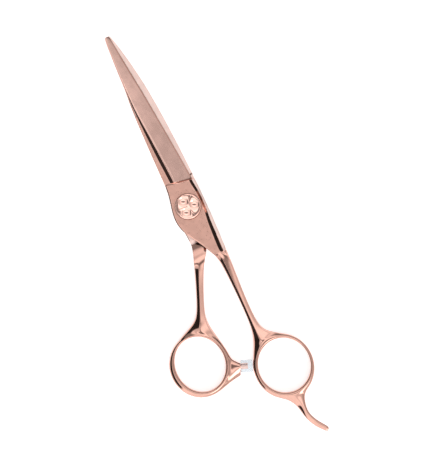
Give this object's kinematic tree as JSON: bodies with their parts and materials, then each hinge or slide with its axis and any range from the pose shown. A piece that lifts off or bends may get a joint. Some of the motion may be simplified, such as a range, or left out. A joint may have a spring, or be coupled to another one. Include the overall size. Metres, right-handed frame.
{
  "type": "hair cutting shears",
  "caption": "Rose gold hair cutting shears with offset oval finger rings, a curved finger rest, a click tension dial and a clear bumper between the rings.",
  "frame": {"origin": "on the pivot axis, in the plane of the bolt head's back face, which the shears rest on when laid down", "axes": "+Y from the pivot towards the blade tips, +X towards the finger ring's side, +Z along the pivot axis from the bolt head to the dial"},
  "size_m": [0.0504, 0.1659, 0.0071],
  "materials": {
    "rose_steel": "rose gold titanium coating on polished stainless steel",
    "hard_steel": "bare hardened steel, fine ground",
    "bronze": "sintered bronze, turned",
    "acetal": "white acetal",
    "clear_silicone": "clear silicone, slightly blue"
  },
  "bodies": {
    "still_half": {"finger_half": "rose_steel", "pivot_bush": "bronze", "upper_race": "hard_steel", "dial_washer": "acetal"},
    "moving_half": {"thumb_half": "rose_steel", "pivot_bolt": "rose_steel", "lower_race": "hard_steel", "detent_plate": "hard_steel", "tension_spring": "hard_steel", "bumper": "clear_silicone", "bumper_stud": "rose_steel"},
    "dial": {"tension_dial": "rose_steel", "dial_nut": "hard_steel", "click_balls": "hard_steel", "click_springs": "hard_steel"},
    "bearing": {"bearing_cage": "acetal", "bearing_balls": "hard_steel"}
  },
  "joints": [
    {"name": "pivot", "type": "hinge", "parent": "still_half", "child": "moving_half", "pos_m": [0, 0, 0.0029], "axis": [0, 0, -1], "range_deg": [0, 115]},
    {"name": "dial_turn", "type": "hinge", "parent": "moving_half", "child": "dial", "pos_m": [0, 0, 0.006], "axis": [0, 0, 1], "range_deg": [-180, 180]},
    {"name": "bearing_roll", "type": "hinge", "parent": "still_half", "child": "bearing", "pos_m": [0, 0, 0.0029], "axis": [0, 0, -1], "range_deg": [0, 57.5]}
  ],
  "couplings": [
    {"joint": "bearing_roll", "follows": "pivot", "ratio": 0.5}
  ]
}
